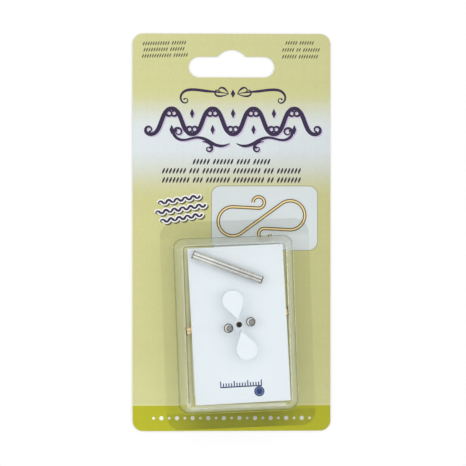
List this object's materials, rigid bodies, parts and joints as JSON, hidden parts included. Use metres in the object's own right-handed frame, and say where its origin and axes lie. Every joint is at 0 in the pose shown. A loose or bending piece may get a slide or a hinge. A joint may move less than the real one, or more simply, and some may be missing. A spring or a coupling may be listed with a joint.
{
  "type": "wire jig",
  "caption": "Wire-bending jig for S-shaped hook clasps: white plate with teardrop formers and steel pegs, on a printed hang card under a clear bubble, with a loose peg and a brass rod.",
  "frame": {"origin": "centre of the hang card's back face, on the surface that the card lies on", "axes": "+X to the card's right and +Y to its top as its printed face is seen, +Z out of the printed face"},
  "size_m": [0.0734, 0.1474, 0.0137],
  "materials": {
    "printed_card": "coated board, printed in pale olive green",
    "clear_sheet": "clear formed sheet, glossy",
    "leaflet_paper": "uncoated paper, folded",
    "brass": "drawn, bright",
    "plate_plastic": "cool white, fine matt",
    "former_plastic": "white, fine matt",
    "steel": "ground and polished"
  },
  "bodies": {
    "card": {"backing_card": "printed_card"},
    "bubble": {"blister": "clear_sheet"},
    "leaflet": {"instruction_leaflet": "leaflet_paper"},
    "rod": {"brass_rod": "brass"},
    "jig": {"jig_plate": "plate_plastic", "upper_former": "former_plastic", "lower_former": "former_plastic", "left_peg": "steel", "right_peg": "steel"},
    "peg": {"loose_peg": "steel"}
  },
  "joints": [
    {"name": "blister_peel", "type": "hinge", "parent": "card", "child": "bubble", "pos_m": [0.00002, 0.00437, 0.00085], "axis": [-0.9993, -0.0384, 0], "range_deg": [0, 100]},
    {"name": "leaflet_shift", "type": "slide", "parent": "card", "child": "leaflet", "axis": [-0.0384, 0.9993, 0], "range_m": [-0.0014, 0.0014]},
    {"name": "jig_shift", "type": "slide", "parent": "leaflet", "child": "jig", "axis": [0.9993, 0.0384, 0], "range_m": [-0.0026, 0.0008]},
    {"name": "loose_peg_roll", "type": "slide", "parent": "jig", "child": "peg", "axis": [0.3469, 0.9379, 0], "range_m": [-0.0035, 0.001]},
    {"name": "brass_rod_roll", "type": "slide", "parent": "leaflet", "child": "rod", "axis": [-0.1942, 0.981, 0], "range_m": [-0.005, 0.005]}
  ]
}
